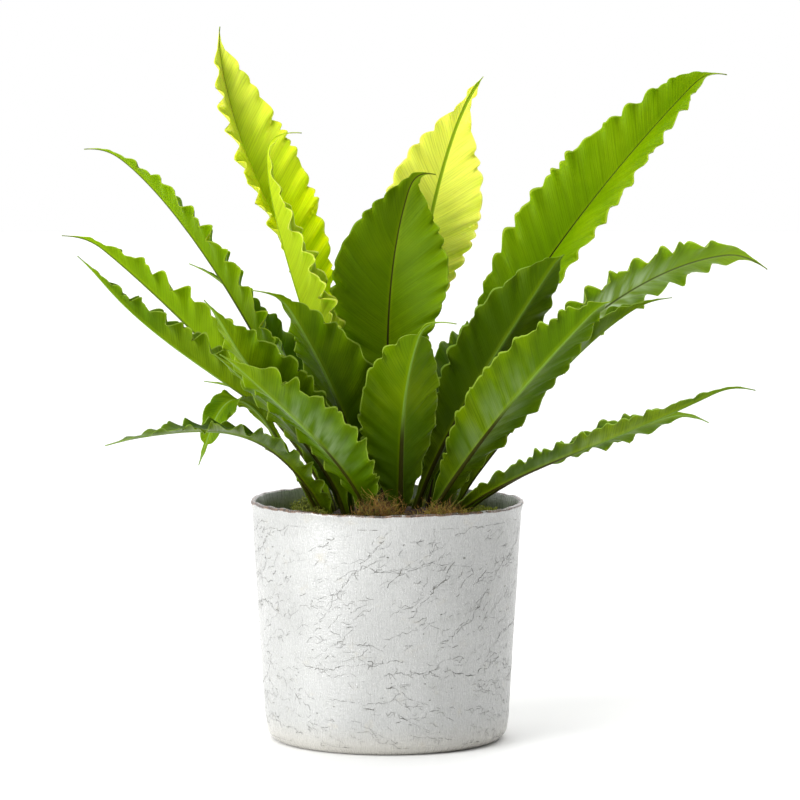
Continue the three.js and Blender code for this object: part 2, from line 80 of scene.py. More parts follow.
# The fronds: name, look, the four points of the midrib and how far its tip is hooked. Then the bearing
# that the upper side faces, roll and twist about the midrib, the fold of the halves, and the outline.
# Blunt and drip shape the tip. Calm keeps the waves near the margin, wavy makes them higher, lobed
# deepens the lobes. Gloss is the shine, bloom how strong a painted whitish sheen is and how far up
# the blade it lies, and brown how far up the midrib is brown.
FRONDS = [
    blade("back_left_tall", "tall", (-10, 22), (-25, 52, 250), (-92, 58, 312), (-103, 70, 419), (2, 0, 2),
          face=-25, twist=-40, fold=48, width=31, widest=0.68, base=1.8, end=0.7, lobed=2, wavy=1.5),
    blade("back_left_lime", "lime", (-14, 4), (-13, -2, 172), (-95, -7, 346), (-63, -2, 365), (13, 0, -6),
          face=-2, fold=44, width=25, widest=0.5, base=0.8, end=1.8, calm=1.8, lobed=1.4, wavy=1.3),
    blade("back_pale", "pale", (5, 22), (4, 36, 171), (22, 64, 350), (58, 68, 391), (0, 0, 0), face=-90,
          fold=15, width=30, widest=0.7, base=2.2, end=1.65, calm=1.3, lobed=2.2),
    blade("centre", "olive", (2, 10), (3, 18, 188), (-9, 32, 277), (20, 36, 343), (9, 0, -10), face=-120,
          twist=40, fold=20, width=36.5, widest=0.67, base=1.7, end=1.05, blunt=1.2, calm=1.3, lobed=1.8),
    blade("front_centre", "green", (7, -34), (10, -40, 169), (4, -66, 218), (26, -82, 262), (14, 0, -10),
          face=106, fold=25, width=26, widest=0.55, base=0.8, end=0.55, blunt=0.5, drip=20, lobed=1.4),
    blade("middle_left", "green", (-13, -12), (-14, -21, 179), (-36, -37, 226), (-66, -48, 274),
          (-12, 0, -5), face=62, fold=30, width=28, widest=0.5, base=0.8, end=0.9),
    blade("left_high", "fresh", (-30, 13), (-40, 15, 174), (-121, 40, 331), (-176, 38, 352), (-5, 0, -4),
          roll=4, fold=38, width=17, widest=0.6, base=1.3, end=0.9, lobed=1.2, wavy=1.2),
    blade("left_middle", "fresh", (-33, 2), (-25, -6, 160), (-149, 7, 279), (-184, 4, 302), (-8, 0, -4),
          roll=14, fold=48, width=21, widest=0.5, base=0.9, end=0.9, lobed=1.3, wavy=1.4),
    blade("left_low", "green", (-24, -7), (-30, -20, 195), (-132, -37, 219), (-175, -48, 288), (-4, 0, 1),
          roll=8, fold=50, width=19, widest=0.5, base=0.9, end=0.9, lobed=1.3, wavy=1.4),
    blade("left_inner", "green", (-19, -21), (-29, -42, 182), (-82, -71, 214), (-99, -86, 265), (-5, 0, 1),
          face=60, fold=28, width=25, widest=0.58, base=1.1, end=0.8),
    blade("front_left", "green", (-8, -33), (-20, -78, 176), (-59, -112, 205), (-91, -138, 240),
          (-2, 0, -1), face=75, roll=-14, fold=20, width=25, widest=0.55, base=0.8, end=0.6, wavy=1.2,
          bloom=(0.2, 0.55)),
    blade("front_left_under", "green", (-21, -29), (-32, -45, 170), (-65, -66, 203), (-95, -96, 234),
          (-3, 0, 2), face=60, fold=25, width=19, widest=0.55, base=1.1, end=0.6, bloom=(0.15, 0.5)),
    blade("left_lowest", "deep", (-30, -21), (-66, -62, 193), (-86, -101, 199), (-152, -140, 190),
          (-5, 0, -2), face=40, roll=-15, twist=20, fold=15, width=16, widest=0.42, base=0.5, end=0.6,
          blunt=2.5, gloss=0.06, wavy=1.3, bloom=(0.1, 0.6)),
    blade("left_drooping", "green", (-35, -10), (-58, -18, 162), (-87, -62, 256), (-107, -54, 171),
          (-2, 0, -3), face=75, fold=12, width=9, widest=0.78, base=4, end=0.4),
    blade("left_rear", "green", (-24, 22), (-21, 37, 166), (-75, 60, 255), (-115, 66, 277), (-5, 0, 1),
          face=-30, fold=35, width=14, widest=0.5, base=0.9, end=0.9),
    blade("right_tall", "fresh", (16, 20), (42, 31, 216), (124, 65, 327), (199, 68, 400), (6, 0, -8),
          face=-118, fold=32, width=32, widest=0.6, base=2.3, end=0.58, calm=1.8, lobed=1.2, brown=0.62),
    blade("right_middle", "fresh", (31, 8), (46, 22, 188), (145, 46, 293), (223, 42, 285), (5, 0, -9),
          face=180, roll=-42, fold=6, width=19, widest=0.68, base=0.9, end=0.45, blunt=1.6, gloss=0.14,
          lobed=1.4, wavy=1.7, bloom=(0.75, 0.56)),
    blade("right_edge", "deep", (31, -3), (65, -9, 171), (109, -5, 240), (162, -6, 264), (6, 0, -2),
          face=180, fold=52, width=17, widest=0.6, base=0.9, end=0.9, bloom=(0.3, 0.6)),
    blade("right_inner", "deep", (14, 2), (32, -7, 185), (69, -19, 236), (104, -16, 292), (0, 0, -4),
          face=110, fold=22, width=25, widest=0.62, base=1.3, end=0.5, blunt=2.2, lobed=1.3),
    blade("front_right", "green", (20, -29), (53, -36, 182), (86, -75, 226), (127, -100, 270), (0, 0, -4),
          face=105, fold=22, width=25, widest=0.55, base=1.1, end=0.6, blunt=2.2, wavy=1.2,
          bloom=(0.1, 0.45)),
    blade("right_low", "deep", (29, -20), (72, -38, 166), (132, -98, 184), (203, -106, 223), (6, 0, -7),
          face=155, twist=-20, fold=36, width=11, widest=0.42, base=0.6, end=1, gloss=0.1,
          bloom=(0.1, 0.5)),
    blade("right_lowest", "green", (34, -11), (77, -16, 163), (127, -40, 184), (182, -46, 201), (5, 0, -9),
          face=178, roll=-14, twist=-44, fold=10, width=11, widest=0.7, base=2.2, end=0.9, gloss=0.15,
          wavy=1.3, bloom=(0.2, 0.6)),
    blade("rear_long", "green", (-1, 35), (-8, 66, 172), (-10, 130, 226), (-10, 190, 244), (0, 4, -4),
          face=-90, fold=38, width=24, widest=0.55, base=0.9, end=0.8),
    blade("rear_right", "green", (24, 27), (34, 50, 190), (52, 100, 232), (76, 152, 238), (2, 4, -4),
          face=-120, fold=40, width=22, widest=0.55, base=0.9, end=0.8),
    blade("rear_left", "green", (-16, 33), (-26, 60, 186), (-54, 104, 226), (-80, 146, 230), (-2, 4, -4),
          face=-60, fold=40, width=22, widest=0.55, base=0.9, end=0.8),
    blade("rear_upright", "fresh", (9, 35), (9, 60, 196), (6, 94, 262), (4, 124, 300), (0, 4, 0), face=-90,
          fold=30, width=20, widest=0.6, base=1.2, end=0.8),
    blade("rear_right_low", "deep", (33, 19), (52, 42, 176), (80, 76, 216), (112, 108, 224), (4, 4, -4),
          face=-140, fold=42, width=18, widest=0.55, base=0.9, end=0.8),
    blade("rear_left_low", "deep", (-33, 20), (-45, 36, 166), (-70, 66, 200), (-108, 82, 205), (-4, 2, 0),
          face=-30, fold=40, width=16, widest=0.5, base=0.9, end=0.9),
]

# Colours by look: low on the blade, middle, towards the tip, margin line and midrib, then how much
# light goes through the blade, and how wide the midrib is drawn. The darker low colour is partly the
# fronds' own colour and partly painted shade of the crowded crown.
LOOKS = {
    "tall": ("#bccc10", "#d6e600", "#d6dc50", "#d0d83c", "#54700c", 0.6, 1.6),
    "lime": ("#98b400", "#a2ba1c", "#b4c61c", "#d8e660", "#7a9408", 0.6, 1.2),
    "pale": ("#e0e840", "#dfe25a", "#eeee60", "#f0f080", "#7d9a10", 0.65, 2.4),
    "fresh": ("#4f7200", "#6c9000", "#6e9200", "#a0b630", "#46551a", 0.25, 1.5),
    "olive": ("#344c00", "#6a8c00", "#607e00", "#82a020", "#3a3410", 0.2, 1.2),
    "green": ("#2a4700", "#436400", "#4e7000", "#8ca43c", "#6c8c34", 0.15, 1.0),
    "deep": ("#213a00", "#324e00", "#3e5e00", "#7c983a", "#5a7826", 0.12, 1.0),
}
LOOK_PARTS = ("low", "mid", "tip", "margin", "rib", "through", "rib_size")

# The clumps of moss on the ring of soil: bearing and half angle, reach in and out, height of the pad,
# strands and how long they are, the length of a leaflet, and colours
MOSS_PARTS = ("name", "bearing", "spread", "inner", "outer", "height", "strands", "length", "leaf",
              "tones")
MOSS = [dict(zip(MOSS_PARTS, row)) for row in (
    ("front", -95, 13, 46, 71, 15, 330, (8, 19), 1.0, ("#4e2c14", "#8a5526", "#b08a3a", "#6f7424")),
    ("front_left", -138, 19, 46, 72, 6, 420, (5, 10), 1.7, ("#5e6b1c", "#8b9426", "#a3a838", "#4c5c1a")),
    ("front_right", -58, 16, 47, 73, 9, 380, (7, 15), 1.1, ("#6a3a1a", "#96672a", "#b39a40", "#6a6a20")),
    ("right", -14, 24, 47, 72, 6, 560, (3, 6), 1.7, ("#a2b030", "#c4cc44", "#8c9a2a", "#d4d85c")),
    ("back_right", 52, 26, 46, 72, 7, 380, (4, 8), 1.7, ("#6a7a22", "#8b9a2c", "#a3ad3e", "#55661c")),
    ("back_left", 128, 28, 46, 71, 7, 380, (4, 8), 1.7, ("#5f6f22", "#7f8f2a", "#98a238", "#4b5b1c")),
)]


def seed_of(name):
    return zlib.crc32(name.encode()) % 100000


def clamp(x):
    return np.clip(x, 0, 1)


def smooth(x):
    x = clamp(x)
    return x * x * (3 - 2 * x)


def mix(a, b, t):
    return a + (b - a) * t


def unit(vectors, least=0.0):
    return vectors / (np.linalg.norm(vectors, axis=-1, keepdims=True) + least)


def rows_of(*columns):
    """Arrays or numbers side by side as the columns of one long table."""
    return np.stack(np.broadcast_arrays(*columns), -1).reshape(-1, len(columns))


# Mesh building

def make_mesh(name, points, faces, maps, material):
    """A mesh object from points in millimetres and faces that all have three or all have four corners.
    maps holds UV layers as arrays with a row per corner."""
    faces = np.asarray(faces, np.int32)
    mesh = bpy.data.meshes.new(name)
    mesh.vertices.add(len(points))
    mesh.vertices.foreach_set("co", (np.asarray(points, float) * MM).astype(np.float32).ravel())
    mesh.loops.add(faces.size)
    mesh.loops.foreach_set("vertex_index", faces.ravel())
    mesh.polygons.add(len(faces))
    mesh.polygons.foreach_set("loop_start", np.arange(0, faces.size, faces.shape[1], dtype=np.int32))
    mesh.update(calc_edges=True)
    mesh.polygons.foreach_set("use_smooth", np.full(len(faces), True))
    for layer_name, values in maps.items():
        layer = mesh.uv_layers.new(name=layer_name)
        layer.data.foreach_set("uv", np.asarray(values, np.float32).ravel())
    mesh.validate()
    mesh.materials.append(material)
    piece = bpy.data.objects.new(name, mesh)
    bpy.context.scene.collection.objects.link(piece)
    return piece


def grid_quads(rows, columns, first=0, closed=False):
    """Faces of a grid of points numbered row by row. closed joins the last column to the first."""
    across = columns if closed else columns - 1
    i, j = np.meshgrid(np.arange(rows - 1), np.arange(across), indexing="ij")
    k = (j + 1) % columns
    quads = np.stack([i * columns + j, i * columns + k, (i + 1) * columns + k, (i + 1) * columns + j], -1)
    return quads.reshape(-1, 4) + first


# Fronds

class Midrib:
    def __init__(self, frond):
        self.knots = np.array([frond["root"], frond["rise"], frond["bend"], frond["tip"]], float)
        self.hook = np.array(frond["hook"], float)
        self.times = np.linspace(0, 1, 401)
        steps = np.linalg.norm(np.diff(self.bezier(self.times), axis=0), axis=1)
        arc = np.concatenate([[0], np.cumsum(steps)])
        self.length = arc[-1]
        self.arc = arc / arc[-1]
        self.blade_start = BLADE["start"] / self.length
        self.blade_end = 1 - frond["drip"] / self.length
        self.hook_start = 1 - DRIP["bend_length"] / self.length

    def bezier(self, t):
        t = np.asarray(t)[:, None]
        a, b, c, d = self.knots
        return (1 - t) ** 3 * a + 3 * (1 - t) ** 2 * t * b + 3 * (1 - t) * t ** 2 * c + t ** 3 * d

    def point(self, s):
        bent = clamp((s - self.hook_start) / (1 - self.hook_start))
        t = np.interp(clamp(s), self.arc, self.times)
        return self.bezier(t) + self.hook * (bent ** 3)[:, None]

    def tangent(self, s):
        step = 2e-3
        return unit(self.point(np.minimum(s + step, 1)) - self.point(np.maximum(s - step, 0)))

    def blade_share(self, s):
        """How far along the blade a place lies: 0 where the blade starts, 1 where it ends."""
        return (s - self.blade_start) / (self.blade_end - self.blade_start)


def turn_about(vectors, axes, angles):
    c, s = np.cos(angles)[:, None], np.sin(angles)[:, None]
    along = (vectors * axes).sum(1, keepdims=True)
    return vectors * c + np.cross(axes, vectors) * s + axes * along * (1 - c)


def half_width(frond, inside, to_tip):
    """Half the width: it swells and narrows, and runs out into the drip tip in a hollow curve."""
    rise = math.log(0.5) / math.log(frond["widest"])
    taper = mix(frond["base"], frond["end"], inside)
    outline = np.sin(math.pi * inside ** rise).clip(0, 1) ** taper
    narrow = mix(STALK["half_width"], DRIP["root"], inside)
    hollow = DRIP["end"] + DRIP["hollow"] * frond["blunt"] * to_tip ** 2.2
    filling = 0.8 * min(1, frond["width"] / 22) * clamp((17 - to_tip) / 6)
    return np.minimum(np.maximum(narrow + (frond["width"] - narrow) * outline, filling * hollow), hollow)


def crest_heights(midrib, seed):
    """Where the crests and troughs of one margin lie along the blade, and how high they stand."""
    blade_length = midrib.length * (midrib.blade_end - midrib.blade_start)
    count = 2 * round(blade_length / WAVES["period"])
    i = np.arange(count + 1)
    fade = np.minimum(np.minimum(1, (i / (0.25 * count)) ** 0.5), (count - i) / 1.6)
    shift = 0.3 * fade * np.sin(2.4 * i + 3 * seed)
    unevenness = 0.85 + 0.3 * np.sin(1.7 * i + 5 * seed)
    way = np.where(i % 2 == 0, 1, -1)
    return (i + shift) / count, way * unevenness * fade


def between_crests(q, places, heights):
    """Joins the crests and troughs with half cosines into round waves."""
    k = np.clip(np.searchsorted(places, q) - 1, 0, len(places) - 2)
    part = clamp((q - places[k]) / (places[k + 1] - places[k]))
    return mix(heights[k], heights[k + 1], 0.5 - 0.5 * np.cos(math.pi * part))


def frond_piece(frond, index):
    midrib = Midrib(frond)
    draw = np.random.default_rng(seed_of(frond["name"]))
    rows = int(midrib.length / ROW_STEP)
    s = np.linspace(0, 1, rows)
    q = midrib.blade_share(s)
    inside = clamp(q)
    width = half_width(frond, inside, (1 - s) * midrib.length)
    middle, tangent = midrib.point(s), midrib.tangent(s)
    face = math.radians(frond["face"])
    level = np.array([-math.sin(face), math.cos(face), 0])
    side = unit(level - tangent * (tangent @ level)[:, None])
    normal = np.cross(side, tangent)
    turn = np.radians(frond["roll"] + frond["twist"] * inside)
    side, normal = turn_about(side, tangent, turn), turn_about(normal, tangent, turn)
    side, normal, middle = side[:, None], normal[:, None], middle[:, None]
    inside, width = inside[:, None], width[:, None]
    opened = smooth((q + 0.04) / 0.2)[:, None]
    fold = np.radians(frond["fold"]) * opened

    # Columns: four close to the midrib, then closer and closer towards the margin
    rib_spread = mix(1.5, 0.6, inside)
    near = 4
    k = np.arange(SIDE_COLUMNS + 1)
    close = np.minimum(k * 0.6 * rib_spread, width * k / SIDE_COLUMNS)
    last_close = close[:, near - 1:near]
    spaced = 1 - (1 - clamp((k - near + 1) / (SIDE_COLUMNS - near + 1))) ** 1.35
    out = np.where(k < near, close, last_close + (width - last_close) * spaced)

    # The fold of a half: steep at the midrib, and flatter towards the margin
    u = out / width
    steep, ease = 1.3 * fold, np.maximum(0.6 * fold, 1e-6)
    slope = steep - ease * u
    across = (np.sin(steep) - np.sin(slope)) / ease * width
    lift = (np.cos(slope) - np.cos(steep)) / ease * width
    at_margin = (s * midrib.length)[:, None] + (width - out) * VEIN_SLANT
    q_margin = midrib.blade_share(at_margin / midrib.length)
    on_blade = (q_margin > 0) & (q_margin < 1)
    blade_fade = clamp(inside / 0.3) ** 0.5 * clamp((1 - inside) / 0.04)
    frill_fade = blade_fade * clamp(width / 10)
    pleat_fade = blade_fade * clamp((u - 0.1) / 0.4) * clamp(width / 20) / frond["calm"] ** 2
    ramp = clamp((u - 0.2) / 0.8) ** (1.8 * frond["calm"])
    crest = frond["wavy"] * np.minimum(WAVES["height"], WAVES["lean"] * width) * ramp
    bump = np.exp(-(out / rib_spread) ** 2)
    keel = mix(STALK["keel"], BLADE["keel"] * (1 - inside), opened) * bump
    thickness = BLADE["thickness"] * (1 - 0.4 * u ** 8)
    thickness += (STALK["thickness"] - BLADE["thickness"]) * (1 - opened) * np.exp(-(out / 2.0) ** 2)
    ridge = 0.25 * bump * opened * (1 - 0.6 * inside)

    # The drawn phases make no two margins alike
    phase = draw.uniform(0, TURN, 6)

    def swing(amount, period, shift):
        return amount * np.sin(at_margin / period + shift)

    sides = {}
    for sign in (-1, 1):
        wave = between_crests(q_margin, *crest_heights(midrib, index + sign)) * on_blade
        # Round lobes with sharp notches along the margin, each with a ripple that runs into the blade
        beat = math.pi * at_margin / LOBES["period"] + phase[0 if sign > 0 else 1]
        beat = beat + swing(1.5, 15, phase[2]) + swing(0.8, 6.3, phase[3])
        lobe = np.abs(np.sin(beat)) ** LOBES["roundness"]
        strength = (0.65 + swing(0.35, 8.7, phase[4] + sign)) * frill_fade
        ripple = (2 * lobe - 1.2) * (0.7 + swing(0.3, 5.1, phase[5]))
        frill = LOBES["lift"] * strength * ripple * clamp((u - 0.4) / 0.6) ** 2
        pleat = swing(*PLEATS["fine"], swing(1.4, 9, sign))
        pleat += swing(*PLEATS["broad"], swing(1.8, 21, phase[1]))
        rise = wave * crest + frill + pleat * pleat_fade
        reach_out = LOBES["depth"] * frond["lobed"] * strength * (lobe - 0.7)
        stretch = 1 + u ** 5 * (WAVES["scallop"] * wave + reach_out / width)
        outward = sign * side
        base = middle + outward * (across * stretch)[..., None] + normal * (lift * stretch)[..., None]
        upward = normal * np.cos(slope)[..., None] - outward * np.sin(slope)[..., None]
        upper = base + upward * (rise + thickness / 2 + ridge)[..., None]
        lower = base + upward * (rise - thickness / 2 - keel)[..., None]
        sides[sign] = upper, lower, sign * out, sign * u, at_margin

    upper, lower, reach, share, at_margin = (
        np.concatenate([left[:, :0:-1], right], axis=1) for left, right in zip(sides[-1], sides[1]))
    # The two halves meet at the midrib, where each tilts its own way, so the middle column is set apart
    half = SIDE_COLUMNS
    for line, other in ((upper, 0), (lower, 1)):
        line[:, half] = 0.5 * (sides[-1][other][:, 0] + sides[1][other][:, 0])
    columns = 2 * half + 1
    count = rows * columns
    points = np.concatenate([upper.reshape(-1, 3), lower.reshape(-1, 3)])
    top = grid_quads(rows, columns)
    under = grid_quads(rows, columns, count)[:, ::-1]
    i = np.arange(rows - 1)
    left = np.stack([(i + 1) * columns, (i + 1) * columns + count, i * columns + count, i * columns], 1)
    right = left[:, [3, 2, 1, 0]] + columns - 1
    j = np.arange(columns - 1)
    start = np.stack([j, j + count, j + 1 + count, j + 1], 1)
    end = start[:, ::-1] + (rows - 1) * columns
    quads = np.concatenate([top, under, left, right, start, end])
    corners = quads.ravel()
    first_rim = 4 * (len(top) + len(under))
    rim = corners[first_rim:]

    # Blade: where a vein through this place meets the margin, and the distance from the midrib.
    # Place: share of the half width, and share of the length, with 2 added on the underside.
    flat = rows_of(at_margin, reach) * 0.01
    place = rows_of(share, q[:, None])
    place_map = np.concatenate([place, place + (0, 2)])[corners]
    place_map[first_rim:] = place[rim % count]

    # The map for baked colours: the two faces as strips side by side, and the rim between them
    row_of, column_of = np.divmod(np.arange(count), columns)
    strip = rows_of(0.01 + 0.98 * row_of / (rows - 1), 0.01 + 0.47 * column_of / (columns - 1))
    bake_map = np.concatenate([strip, strip + (0, 0.51)])[corners]
    edge = np.where(column_of[rim % count] < half, 0.487, 0.496)
    bake_map[first_rim:, 1] = edge + np.where(rim >= count, 0.004, 0)

    maps = {"Blade": np.concatenate([flat, flat])[corners], "Place": place_map, "OFBake": bake_map}
    return make_mesh("fern_" + frond["name"], points, quads, maps, frond_material(frond))


# Materials

def linear(colour):
    """A #rrggbb colour as linear red, green, blue and alpha."""
    parts = [int(colour[k:k + 2], 16) / 255 for k in (1, 3, 5)]
    return tuple(p / 12.92 if p <= 0.04045 else ((p + 0.055) / 1.055) ** 2.4 for p in parts) + (1.0,)


class Shade:
    """The nodes of a material or of the surroundings, built by short calls that return sockets."""

    def __init__(self, name, world=False):
        self.owner = (bpy.data.worlds if world else bpy.data.materials).new(name)
        self.owner.use_nodes = True
        self.tree = self.owner.node_tree

    def put(self, socket, value):
        if isinstance(value, bpy.types.NodeSocket):
            self.tree.links.new(value, socket)
        elif isinstance(value, str):
            socket.default_value = linear(value)
        else:
            socket.default_value = value

    def node(self, kind, values=None, **settings):
        made = self.tree.nodes.new(kind)
        for key, value in settings.items():
            setattr(made, key, value)
        for key, value in (values or {}).items():
            self.put(made.inputs[key], value)
        return made

    def math(self, operation, a, b=0.0):
        return self.node("ShaderNodeMath", {0: a, 1: b}, operation=operation).outputs[0]

    def times(self, a, b):
        return self.math("MULTIPLY", a, b)

    def total(self, *weighted):
        """The sum of values, each times its weight."""
        first, *others = (self.times(value, weight) for value, weight in weighted)
        for other in others:
            first = self.math("ADD", first, other)
        return first

    def range(self, value, low, high, to_low=0.0, to_high=1.0):
        values = {"Value": value, "From Min": low, "From Max": high, "To Min": to_low, "To Max": to_high}
        made = self.node("ShaderNodeMapRange", values, interpolation_type="SMOOTHSTEP")
        return made.outputs["Result"]

    def blend(self, share, a, b):
        return self.node("ShaderNodeMix", {0: share, 6: a, 7: b}, data_type="RGBA").outputs[2]

    def noise(self, place, scale, detail, rough=0.55):
        values = {"Vector": place, "Scale": scale, "Detail": detail, "Roughness": rough}
        return self.node("ShaderNodeTexNoise", values).outputs["Fac"]

    def voronoi(self, place, scale):
        return self.node("ShaderNodeTexVoronoi", {"Vector": place, "Scale": scale}).outputs["Distance"]

    def object_place(self):
        return self.node("ShaderNodeTexCoord").outputs["Object"]

    def uv(self, name):
        return self.node("ShaderNodeUVMap", uv_map=name).outputs["UV"]

    def parts(self, vector):
        made = self.node("ShaderNodeSeparateXYZ", {"Vector": vector})
        return made.outputs["X"], made.outputs["Y"]

    def joined(self, x, y, z=0.0):
        return self.node("ShaderNodeCombineXYZ", {"X": x, "Y": y, "Z": z}).outputs["Vector"]

    def bump(self, height, distance, strength):
        values = {"Height": height, "Distance": distance, "Strength": strength}
        return self.node("ShaderNodeBump", values).outputs["Normal"]

    def finish(self, shader="Principled BSDF", **sockets):
        for key, value in sockets.items():
            self.put(self.tree.nodes[shader].inputs[key.replace("_", " ")], value)
        return self.owner


def frond_material(frond):
    look = dict(zip(LOOK_PARTS, LOOKS[frond["look"]]))
    draw = np.random.default_rng(seed_of(frond["name"]) + 1)
    shade = Shade("fern_blade_" + frond["name"])
    own = float(draw.uniform(0, 40))
    along, reach = shade.parts(shade.uv("Blade"))
    share, coded = shade.parts(shade.uv("Place"))
    under = shade.math("GREATER_THAN", coded, 1.45)
    q = shade.math("SUBTRACT", coded, shade.times(under, 2.0))
    edge, off_rib = shade.math("ABSOLUTE", share), shade.math("ABSOLUTE", reach)
    sided = shade.times(shade.math("SIGN", reach), 7.3)
    streak_place = shade.joined(along, shade.times(reach, 0.06), shade.math("ADD", sided, own))
    streaks = shade.noise(streak_place, 16.0, 4.0, 0.6)
    fine = shade.noise(streak_place, 110.0, 2.0, 0.5)
    veins = shade.range(shade.math("SINE", shade.total((along, 400.0), (streaks, 30.0))), 0.35, 1.0)
    blotches = shade.noise(shade.object_place(), 16.0, 3.0, 0.6)

    # From the low colour to the middle and the tip; the darker low part is partly painted shade near the
    # crown
    colour = shade.blend(shade.range(q, 0.02, 0.5), look["low"], look["mid"])
    colour = shade.blend(shade.range(q, 0.6, 1.0), colour, look["tip"])
    darker = shade.blend(0.45, colour, "#142600")
    lighter = shade.blend(0.3, colour, "#b4cc10")
    colour = shade.blend(shade.range(streaks, 0.3, 0.72, 0.5, 1.0), darker, colour)
    colour = shade.blend(shade.range(blotches, 0.42, 0.75, 0.0, 0.7), colour, lighter)
    colour = shade.blend(shade.range(fine, 0.5, 0.75, 0.0, 0.4), colour, darker)
    colour = shade.blend(shade.times(veins, 0.4), colour, darker)
    colour = shade.blend(shade.range(edge, 0.7, 1.0, 0.0, 0.18), colour, lighter)

    # Painted sheen: soft whitish highlight streaks painted beside the midrib of some fronds
    if frond["bloom"]:
        amount, where = frond["bloom"]
        sheen_wisps = shade.noise(shade.joined(along, shade.times(reach, 0.3), own), 15.0, 2.0, 0.5)
        off_place = shade.math("ABSOLUTE", shade.math("SUBTRACT", q, where))
        there = shade.times(shade.range(off_place, 0.33, 0.05), shade.range(edge, 0.85, 0.2))
        sheen_wisps = shade.times(shade.range(sheen_wisps, 0.32, 0.7, 0.0, amount), there)
        colour = shade.blend(sheen_wisps, colour, "#d0e2c0")

    # The midrib: brown to black low on the frond, then green up to the tip
    size, brown = look["rib_size"], frond["brown"]
    rib_width = shade.range(q, 0.0, 1.0, 0.011 * size ** 0.5, 0.0045 * size)
    on_rib = shade.range(shade.math("DIVIDE", off_rib, rib_width), 1.2, 0.85, 0.0, 0.95)
    rib_colour = shade.blend(shade.range(q, brown + 0.1, brown - 0.12), look["rib"], "#20100c")
    colour = shade.blend(shade.range(off_rib, 0.03, 0.012, 0.0, 0.3), colour, lighter)
    colour = shade.blend(on_rib, colour, rib_colour)
    colour = shade.blend(shade.range(edge, 0.955, 0.985, 0.0, 0.75), colour, look["margin"])
    colour = shade.blend(shade.range(q, 0.07, -0.03, 0.0, 0.85), colour, "#241509")
    spots = shade.range(shade.voronoi(shade.uv("Blade"), 14.0), 0.05, 0.02, 0.0, 0.7)
    rare = shade.range(shade.noise(shade.object_place(), 45.0, 1.0), 0.62, 0.68)
    colour = shade.blend(shade.times(spots, rare), colour, "#6b4a1e")
    colour = shade.blend(shade.times(under, 0.05), colour, "#9db400")
    return shade.finish(
        Base_Color=colour, Roughness=shade.range(fine, 0.3, 0.7, 0.34, 0.46),
        Normal=shade.bump(shade.total((veins, 0.35), (streaks, 1.5), (fine, 0.4)), 0.0002, 0.55),
        Specular_IOR_Level=frond["gloss"], Subsurface_Weight=look["through"],
        Subsurface_Radius=(1.0, 1.4, 0.25), Subsurface_Scale=0.001)


def pot_material():
    shade = Shade("pot_crackle_glaze")
    x, z = shade.parts(shade.uv("Wall"))
    place = shade.object_place()

    def patches(flatter, layer, scale, detail, rough):
        return shade.noise(shade.joined(x, shade.times(z, flatter), layer), scale, detail, rough)

    hatch = patches(0.12, 0.0, 110.0, 3.0, 0.6)
    cloud = shade.noise(place, 16.0, 4.0, 0.6)
    grain = shade.noise(place, 260.0, 2.0, 0.5)
    colour = shade.blend(shade.range(cloud, 0.3, 0.7), "#a6a7a5", "#b3b4b2")
    colour = shade.blend(shade.range(hatch, 0.48, 0.75, 0.0, 0.5), colour, "#939593")
    smudge = patches(1.6, 6.0, 5.0, 5.0, 0.65)
    colour = shade.blend(shade.range(smudge, 0.5, 0.75, 0.0, 0.4), colour, "#9b9c98")
    tint = patches(1.3, 9.0, 7.0, 4.0, 0.6)
    colour = shade.blend(shade.range(tint, 0.58, 0.8, 0.0, 0.45), colour, "#ada48c")
    colour = shade.blend(shade.range(z, 0.2, 0.0, 0.0, 0.5), colour, "#bdb7a9")

    # The lip is bare brown clay, and the inside a grey green glaze. Inner is 1 there, lip 1 on the edge.
    inner, lip = shade.parts(shade.uv("Zone"))
    inside = shade.blend(shade.range(cloud, 0.35, 0.65), "#75806a", "#b0baa8")
    colour = shade.blend(shade.range(inner, 0.4, 0.6), colour, inside)
    ragged = shade.noise(shade.joined(z, x, 3.0), 14.0, 4.0, 0.62)
    ragged = shade.math("ADD", lip, shade.times(shade.math("SUBTRACT", ragged, 0.5), 1.7))
    bare = shade.blend(shade.range(grain, 0.35, 0.65), "#2e1c12", "#6a4a30")
    colour = shade.blend(shade.range(ragged, 0.72, 0.84), colour, bare)

    wrinkle = patches(1.7, 2.0, 42.0, 5.0, 0.65)
    height = shade.total((hatch, 0.9), (cloud, 0.9), (wrinkle, 0.9), (grain, 0.25))
    return shade.finish(Base_Color=colour, Roughness=shade.range(hatch, 0.3, 0.8, 0.24, 0.38),
                        Normal=shade.bump(height, 0.0005, 0.45), Specular_IOR_Level=1.0, IOR=1.7)


def earth_material(name, dark, light, scale, fleck):
    shade = Shade(name)
    place = shade.object_place()
    coarse = shade.noise(place, scale, 5.0, 0.65)
    colour = shade.blend(shade.range(coarse, 0.35, 0.68), dark, light)
    flecks = shade.range(shade.noise(place, scale * 5, 2.0), 0.66, 0.72)
    height = shade.math("SUBTRACT", coarse, shade.times(shade.voronoi(place, scale * 3.5), 0.8))
    colour = shade.blend(flecks, colour, fleck)
    return shade.finish(Base_Color=colour, Normal=shade.bump(height, 0.001, 0.8),
                        Roughness=shade.range(coarse, 0.3, 0.7, 0.8, 0.98))


